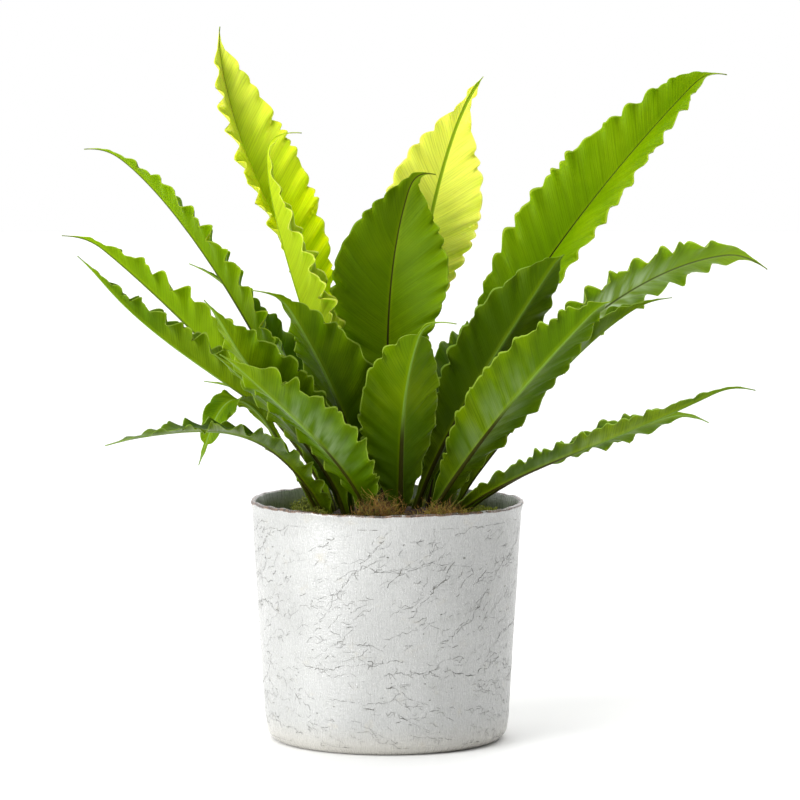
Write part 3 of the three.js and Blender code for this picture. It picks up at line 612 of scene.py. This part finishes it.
def moss_material(clump):
    shade = Shade("moss_" + clump["name"])
    chance, along = shade.parts(shade.uv("Strand"))
    first, second, third, fourth = clump["tones"]
    colour = shade.blend(shade.range(chance, 0.1, 0.4), first, second)
    colour = shade.blend(shade.range(chance, 0.4, 0.7), colour, third)
    colour = shade.blend(shade.range(chance, 0.75, 1.0), colour, fourth)
    # Painted shade: darker towards the roots of the strands and on the pad beneath them
    colour = shade.blend(shade.range(along, 0.5, 0.0, 0.0, 0.6), colour, "#1d1a0c")
    dust = shade.noise(shade.object_place(), 900.0, 2.0)
    colour = shade.blend(shade.range(dust, 0.4, 0.7, 0.0, 0.35), colour, "#c2bb62")
    grain = shade.noise(shade.object_place(), 1500.0, 2.0)
    return shade.finish(Base_Color=colour, Roughness=shade.range(grain, 0.3, 0.7, 0.7, 0.95),
                        Normal=shade.bump(grain, 0.0003, 0.5))


# Pot, soil and crown

def pot_radius(z):
    return mix(POT["foot"], POT["rim"], clamp(z / (POT["height"] - POT["lip_height"])))


def lip_waver(angle):
    """The lip's slow rise and fall."""
    return POT["waver"] * (0.6 * np.cos(angle - 2.8) + 0.4 * np.sin(5 * angle + 1))


def wobble(angle, z):
    """Small unevenness of a wall that was thrown by hand."""
    return (0.32 * np.sin(2 * angle + z / 60) + 0.2 * np.sin(3 * angle - z / 31 + 1)
            + 0.1 * np.sin(7 * angle + z / 13 + 2) + 0.07 * np.sin(11 * angle - z / 9))


def pot_piece():
    segments = 288
    top, lip, foot, corner, wall = (POT[key] for key in ("height", "lip", "foot", "corner", "wall"))
    lip_base = top - POT["lip_height"]
    profile = [(0.0, 0.0), (30.0, 0.0)]
    for angle in np.radians(np.arange(-90, 1, 10)):
        profile.append((foot - corner * (1 - math.cos(angle)), corner * (1 + math.sin(angle))))
    profile += [(pot_radius(z), z) for z in np.linspace(14, lip_base, 30)]
    profile += [(lip - 0.3, top - 2.2), (lip, top - 1.1)]
    lip_start = len(profile) - 1
    profile += [(lip - 0.35, top - 0.25), (lip - 1.0, top), (lip - 2.0, top), (lip - 2.65, top - 0.3)]
    lip_end = len(profile)
    profile += [(lip - wall, top - 1.2)]
    profile += [(pot_radius(z) - wall, z) for z in np.linspace(lip_base, POT["floor"] + 3, 12)]
    profile += [(pot_radius(POT["floor"]) - wall - 3, POT["floor"]), (0.0, POT["floor"])]
    profile = np.array(profile)
    angle = TURN * np.arange(segments) / segments
    radius, z = profile[:, :1], profile[:, 1:2]
    near_lip = smooth((z - lip_base) / POT["lip_height"])
    chips = 0.28 * np.sin(23 * angle + 2 * np.sin(5 * angle)) + 0.2 * np.sin(41 * angle + 1)
    height = z + near_lip * (lip_waver(angle) + 0.8 * chips * (z > top - 1.5))
    uneven = smooth(radius / 60) * smooth((z - 2) / 12) * wobble(angle, z)
    r = radius + uneven + near_lip * 0.25 * np.sin(17 * angle + 3)
    points = rows_of(r * np.cos(angle), r * np.sin(angle), height)
    quads = grid_quads(len(profile), segments, closed=True)
    i, j = np.divmod(np.arange(len(quads)), segments)
    turn_share = np.stack([j, j + 1, j + 1, j], 1) / segments
    row = np.stack([i, i, i + 1, i + 1], 1)
    # Wall: distance round the pot and height, in decimetres. Zone: inside or not, and lip or not.
    wall_map = rows_of(turn_share * GIRTH, profile[row, 1]) * 0.01
    zone_map = rows_of(row >= lip_end, (row >= lip_start) & (row < lip_end))
    arc = np.concatenate([[0], np.cumsum(np.hypot(*np.diff(profile, axis=0).T))])
    bake_map = 0.005 + 0.99 * rows_of(turn_share, arc[row] / arc[-1])
    maps = {"Wall": wall_map, "Zone": zone_map, "OFBake": bake_map}
    return make_mesh("pot_glazed", points, quads, maps, pot_material())


def on_wall(around, z):
    """A point just proud of the wall's outside, from a distance round the pot and a height."""
    angle = around / WALL_RADIUS
    radius = pot_radius(z) + wobble(angle, z) + CRACKLE["proud"]
    return rows_of(radius * np.cos(angle), radius * np.sin(angle), z)


def hairline_path(draw, start, heading, length):
    """A jagged line on the unrolled wall, roughly along its heading, with a point for each millimetre."""
    slow = np.cumsum(draw.normal(0, math.radians(3.5), length))
    kinks = np.repeat(draw.normal(0, math.radians(26), length), draw.integers(1, 4, length))[:length]
    bearing = heading + slow + kinks
    steps = rows_of(np.cos(bearing), np.sin(bearing)) * draw.uniform(0.6, 1.2, (length, 1))
    path = np.concatenate([[start], start + np.cumsum(steps, 0)])
    path[:, 1] = np.clip(path[:, 1], CRACKLE["low"], CRACKLE["high"])
    return path, bearing


def hairlines_piece():
    """The crackle in the glaze: fine dark ribbons and specks that lie a hair proud of the wall."""
    draw = np.random.default_rng(11)
    points, triangles, values = [], [], []

    def add_ribbon(path, width):
        count = len(path)
        way = unit(np.gradient(path, axis=0))
        across = rows_of(-way[:, 1], way[:, 0])
        swell = np.sin(math.pi * (np.arange(count) + 0.5) / count) ** 0.5 * draw.uniform(0.5, 1.4, count)
        half = (width * swell)[:, None]
        first = len(points)
        for edge in (path - across * half, path + across * half):
            points.extend(on_wall(*edge.T))
        chance = draw.uniform(0, 1)
        values.extend([(chance, 0.0)] * (2 * count))
        for k in range(count - 1):
            a, b = first + k, first + count + k
            triangles.extend([(a, a + 1, b + 1), (a, b + 1, b)])

    def add_broken(path, width):
        """The line with gaps in it."""
        k = 0
        while k < len(path) - 2:
            run = int(draw.integers(3, 12))
            if len(path[k:k + run + 1]) > 2:
                add_ribbon(path[k:k + run + 1], width * draw.uniform(0.6, 1.3))
            k += run + int(draw.integers(0, 3))

    def strewn(n, low, reach):
        """Places spread evenly over the unrolled wall, each shifted a little."""
        spread = np.array([0.7549 * n % 1, 0.5698 * n % 1]) + draw.normal(0, 0.03, 2)
        return spread * (GIRTH, reach) + (0, low)

    def heading_at(z):
        """Upwards to the right high on the wall, and downwards near the foot."""
        return math.radians(-16 + 40 * float(smooth((z - 25) / 55)) + draw.normal(0, 8))

    def twig(path, bearing, k, width):
        swing = draw.choice([-1, 1]) * math.radians(draw.uniform(35, 75))
        branch, _ = hairline_path(draw, path[k], bearing[k] + swing, int(draw.integers(2, 6)))
        add_ribbon(branch, 0.7 * width)

    # Long cracks with gaps and twigs
    for n in range(CRACKLE["long"]):
        start = strewn(n, 7, 124)
        length = int(14 + 46 * draw.uniform(0, 1) ** 1.5)
        path, bearing = hairline_path(draw, start, heading_at(start[1]), length)
        width = 0.07 + 0.1 * draw.uniform(0, 1) ** 1.5
        add_broken(path, width)
        for k in range(2, length - 2):
            if draw.uniform(0, 1) < 0.08:
                twig(path, bearing, k, width)

    # Short and medium ones anywhere, some with a twig
    for n in range(CRACKLE["short"]):
        start = strewn(n, 5, 128)
        heading = heading_at(start[1])
        path, bearing = hairline_path(draw, start, heading, int(3 + 8 * draw.uniform(0, 1) ** 1.6))
        width = 0.05 + 0.12 * draw.uniform(0, 1) ** 1.6
        add_broken(path, width)
        if len(path) > 6 and draw.uniform(0, 1) < 0.7:
            twig(path, bearing, int(draw.integers(1, len(path) - 2)), width)

    sides = 6
    turn = TURN * np.arange(sides) / sides
    for _ in range(CRACKLE["specks"]):
        centre = np.array([draw.uniform(0, GIRTH), draw.uniform(4, 132)])
        size = 0.12 + 0.5 * draw.uniform(0, 1) ** 3
        reach = size * draw.uniform(0.5, 1.2, sides)
        flat = centre + rows_of(1.5 * reach * np.cos(turn), 0.7 * reach * np.sin(turn))
        first = len(points)
        points.extend(on_wall(*flat.T))
        values.extend([(draw.uniform(0, 1), 1.0)] * sides)
        triangles.extend([(first, first + k, first + k + 1) for k in range(1, sides - 1)])

    shade = Shade("pot_hairline_stain")
    chance, speck = shade.parts(shade.uv("Mark"))
    fade = shade.noise(shade.object_place(), 130.0, 2.0)
    colour = shade.blend(shade.range(chance, 0.0, 1.0), "#1b1916", "#52504a")
    colour = shade.blend(shade.range(fade, 0.4, 0.7, 0.0, 0.5), colour, "#8d8d88")
    colour = shade.blend(shade.times(speck, 0.4), colour, "#6b6a64")
    stain = shade.finish(Base_Color=colour, Roughness=shade.range(fade, 0.3, 0.7, 0.6, 0.9))
    triangles = np.array(triangles)
    values = np.array(values)[triangles.ravel()]
    return make_mesh("pot_hairlines", points, triangles, {"Mark": values}, stain)


def lathe_piece(name, profile, segments, raised, material):
    """A turned closed body. raised takes x, y, z and radius of its points and says how far they rise."""
    profile = np.array(profile)
    angle = TURN * np.arange(segments) / segments
    radius, z = profile[:, :1], profile[:, 1:2]
    x, y = radius * np.cos(angle), radius * np.sin(angle)
    points = rows_of(x, y, z + raised(x, y, z, radius))
    return make_mesh(name, points, grid_quads(len(profile), segments, closed=True), {}, material)


def lumps(x, y, seed=0.0):
    """Uneven ground: a sum of sines in several directions, between about -1 and 1."""
    total = 0.0
    for n in range(9):
        bearing, pitch = 2.4 * n + seed, 0.16 * 1.42 ** n
        way = x * math.cos(bearing) + y * math.sin(bearing)
        total = total + np.sin(pitch * way + 1.7 * n) / 1.3 ** n
    return total / 3.2


def soil_piece():
    wall, floor = POT["wall"] + 0.5, POT["floor"]

    def raised(x, y, z, radius):
        on_top = smooth((z - SOIL_TOP + 4) / 3) * smooth((radius - 20) / 20) * smooth((75.8 - radius) / 4)
        return on_top * (0.9 * lumps(x, y) + 0.5 * lumps(3.1 * x, 3.1 * y, seed=2))

    inside, halfway, top_radius = (pot_radius(z) - wall for z in (floor, 70, SOIL_TOP))
    profile = [(0, floor + 0.4), (inside - 4, floor + 0.4), (inside - 0.5, floor + 5), (halfway, 70),
               (top_radius, SOIL_TOP - 1)]
    profile += [(r, SOIL_TOP) for r in np.linspace(top_radius - 0.8, 0, 52)]
    soil = earth_material("potting_soil_crumbs", "#0f0a07", "#33241a", 160.0, "#8a7a66")
    return lathe_piece("soil_bed", profile, 220, raised, soil)


def crown_piece():
    def raised(x, y, z, radius):
        return smooth((z - 118) / 12) * (1.3 * lumps(1.7 * x, 1.7 * y, seed=5) - 0.3)

    r, shoulder, edge_top = CROWN["radius"], CROWN["shoulder"], CROWN["edge_top"]
    profile = [(0, CROWN["bottom"]), (r, CROWN["bottom"]), (r, 112), (r, edge_top - shoulder)]
    profile += [(r - shoulder * (1 - math.cos(a)), edge_top - shoulder * (1 - math.sin(a)))
                for a in np.linspace(0.2, math.pi / 2, 8)]
    profile += [((r - shoulder) * share, edge_top + (CROWN["top"] - edge_top) * (1 - share ** 2))
                for share in np.linspace(0.98, 0, 26)]
    fibre = earth_material("crown_fibre", "#1a0f08", "#4b3120", 240.0, "#7a5a3a")
    return lathe_piece("crown_core", profile, 128, raised, fibre)


# Moss

def moss_strands(roots, ways, lengths, leaflet, draw):
    """Stems that curl, as thin three sided tubes, with small pointed leaflets set round them. Returns
    points, quads, and a chance and a share of the strand's length for each point."""
    count, steps, leaves = len(roots), 8, 15
    ways = unit(ways)
    helper = np.where(np.abs(ways[:, 2:3]) < 0.9, [[0, 0, 1.0]], [[1.0, 0, 0]])
    one = unit(np.cross(ways, helper))
    two = np.cross(ways, one)
    roots, ways, one, two = roots[:, None], ways[:, None], one[:, None], two[:, None]
    lengths = lengths[:, None, None]
    phase = draw.uniform(0, TURN, (count, 1, 1))
    turns = draw.uniform(0.5, 1.6, (count, 1, 1))
    size = 0.3 * lengths * draw.uniform(0.4, 1.2, (count, 1, 1))

    def line(t):
        swing_one = size * (np.sin(phase + TURN * turns * t) - np.sin(phase)) * t
        swing_two = size * (np.cos(phase + TURN * turns * t) - np.cos(phase)) * t
        return roots + ways * lengths * t + one * swing_one + two * swing_two

    t = np.linspace(0, 1, steps)[None, :, None]
    radius = draw.uniform(0.16, 0.3, (count, 1, 1)) * (1 - 0.6 * t)
    points = np.stack([line(t) + radius * (one * math.cos(a) + two * math.sin(a))
                       for a in TURN * np.arange(3) / 3], 2).reshape(-1, 3)
    quads = grid_quads(steps, 3, closed=True) + (np.arange(count) * steps * 3)[:, None, None]
    chance = draw.uniform(0, 1, count)
    values = rows_of(chance[:, None, None], t[0] + np.zeros((1, 3)))

    at = ((np.arange(leaves) + draw.uniform(0.1, 0.9, (count, leaves))) / leaves)[..., None]
    base = line(at)
    ahead = unit(line(at + 0.02) - base)
    around = (2.4 * np.arange(leaves) + draw.uniform(0, 6.3, (count, 1)))[..., None]
    way = unit(0.6 * ahead + 0.8 * (one * np.cos(around) + two * np.sin(around)))
    across = unit(np.cross(way, ahead), 1e-9)
    long = leaflet * draw.uniform(0.6, 1.3, (count, leaves, 1)) * (1 - 0.35 * at)
    middle = base + way * long * 0.45
    tip = base + way * long + ahead * long * 0.25
    leaf = np.stack([base, middle + across * long * 0.22, tip, middle - across * long * 0.22], 2)
    leaf_chance = clamp(chance[:, None] + draw.normal(0, 0.12, (count, leaves)))
    leaf_values = np.repeat(rows_of(leaf_chance, 0.35 + 0.65 * at[..., 0]), 4, 0)
    leaf_quads = np.arange(count * leaves * 4).reshape(-1, 4) + len(points)
    points = np.concatenate([points, leaf.reshape(-1, 3)])
    quads = np.concatenate([quads.reshape(-1, 4), leaf_quads])
    return points, quads, np.concatenate([values, leaf_values])


def moss_place(clump, turn, reach):
    middle = (clump["inner"] + clump["outer"]) / 2
    half = (clump["outer"] - clump["inner"]) / 2
    radius = middle + half * reach * np.sin(turn)
    bearing = np.radians(clump["bearing"] - clump["spread"] * reach * np.cos(turn))
    return radius * np.cos(bearing), radius * np.sin(bearing)


def moss_piece(clump):
    draw = np.random.default_rng(seed_of(clump["name"]) + 7)
    bottom, height = SOIL_TOP + 0.3, clump["height"] * 0.6
    rings, around = 14, 52
    turn = TURN * np.arange(around) / around + np.zeros((rings + 2, 1))
    reach = np.concatenate([np.linspace(0, 1, rings + 1), [1.0]])[:, None] + 0 * turn
    x, y = moss_place(clump, -turn, reach)
    z = bottom - 0.8 + height * np.sqrt(1 - 0.96 * reach ** 2) + 1.2 * lumps(2.2 * x, 2.2 * y, seed=3)
    z[-1] = bottom - 2
    pad = rows_of(x, y, z)
    pad_values = rows_of(draw.uniform(0, 1, len(pad)), 0.1)
    pad_quads = grid_quads(rings + 2, around, closed=True)[:, ::-1]

    count = clump["strands"]
    turn = draw.uniform(0, TURN, count)
    reach = np.sqrt(draw.uniform(0, 1, count)) * 1.04
    x, y = moss_place(clump, -turn, reach)
    dome = np.sqrt(clamp(1 - 0.96 * reach ** 2))
    roots = rows_of(x, y, bottom - 1.2 + height * dome)
    lean = draw.normal(0, 0.7, (count, 3))
    ways = lean * (1, 1, 0.3) + (0, 0, 1)
    lengths = mix(*clump["length"], draw.uniform(0, 1, count) ** 1.6) * (0.5 + 0.5 * dome)
    points, quads, values = moss_strands(roots, ways, lengths, clump["leaf"], draw)
    quads = np.concatenate([quads, pad_quads + len(points)])
    values = np.concatenate([values, pad_values])[quads.ravel()]
    return make_mesh("moss_clump_" + clump["name"], np.concatenate([points, pad]), quads,
                     {"Strand": values}, moss_material(clump))


# Put the pieces together

def dress():
    for index, frond in enumerate(FRONDS):
        piece = frond_piece(frond, index)
        node = "frond_" + frond["name"]
        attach(piece, "root")
        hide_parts(node)
    for piece, node, slot in ((pot_piece(), "pot", "pot_ceramic"), (soil_piece(), "potting_soil", "soil"),
                              (crown_piece(), "crown", "crown_fibre")):
        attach(piece, "root")
        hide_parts(node)
    lines = hairlines_piece()
    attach(lines, "root")
    for clump in MOSS:
        piece = moss_piece(clump)
        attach(piece, "root")
        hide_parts("moss_" + clump["name"])


def studio():
    floor_mesh = bpy.data.meshes.new("studio_floor")
    floor_mesh.from_pydata([(-6, -6, 0), (6, -6, 0), (6, 6, 0), (-6, 6, 0)], [], [(0, 1, 2, 3)])
    floor = bpy.data.objects.new("studio_floor", floor_mesh)
    bpy.context.scene.collection.objects.link(floor)
    shade = Shade("studio_floor")
    tone = shade.noise(shade.object_place(), 3.0, 2.0)
    paper = shade.blend(tone, "#f3f3f2", "#f6f6f6")
    floor_mesh.materials.append(shade.finish(Base_Color=paper, Roughness=0.8))

    # The backdrop that the camera sees is plain white. The room lights the plant from all round, more
    # from the left, from above and from behind than from the front.
    sky = Shade("studio", world=True)
    direction = sky.node("ShaderNodeTexCoord").outputs["Generated"]

    def glow(way, low, high, strength, before):
        way = Vector(way).normalized()
        toward = sky.node("ShaderNodeVectorMath", {0: direction, 1: way}, operation="DOT_PRODUCT")
        return sky.math("ADD", sky.range(toward.outputs["Value"], low, high, 0.0, strength), before)

    room = glow((-0.1, 0.95, 0.3), 0.1, 0.8, 0.75, 0.2)
    room = glow((-0.2, 0.0, 1.0), 0.1, 0.9, 0.5, room)
    seen = sky.node("ShaderNodeLightPath").outputs["Is Camera Ray"]
    brightness = sky.node("ShaderNodeMix", {0: seen, 2: room, 3: 1.0}).outputs[0]
    bpy.context.scene.world = sky.finish("Background", Color=(1.0, 1.0, 1.0, 1.0), Strength=brightness)

    def lamp(name, kind, place, target, **settings):
        light = bpy.data.lights.new(name, kind)
        for key, value in settings.items():
            setattr(light, key, value)
        made = bpy.data.objects.new(name, light)
        made.location = place
        made.rotation_euler = (Vector(target) - Vector(place)).to_track_quat("-Z", "Y").to_euler()
        bpy.context.scene.collection.objects.link(made)

    lamp("key", "SUN", (-0.5, -0.6, 1.6), (0, 0, 0.2), energy=0.9, angle=math.radians(30))
    lamp("panel", "AREA", (-1.67, -1.31, 0.6), (0, 0, 0.15), energy=52.0, shape="RECTANGLE", size=1.5,
         size_y=1.7)
    lamp("back", "SUN", (0.5, 1.5, 1.6), (0, 0, 0.25), energy=1.1, angle=math.radians(60))
    bpy.context.scene.view_settings.view_transform = "Standard"

    camera_data = bpy.data.cameras.new("camera")
    camera_data.sensor_width = 36.0
    camera_data.lens = camera_data.sensor_width * CAMERA["focal"] / CAMERA["side"]
    camera_data.clip_end = 50.0
    camera = bpy.data.objects.new("camera", camera_data)
    camera.location = CAMERA["place"]
    camera.rotation_euler = (math.pi / 2 - math.atan(CAMERA["down"] / CAMERA["focal"]), 0, 0)
    bpy.context.scene.collection.objects.link(camera)
    bpy.context.scene.camera = camera


dress()
studio()
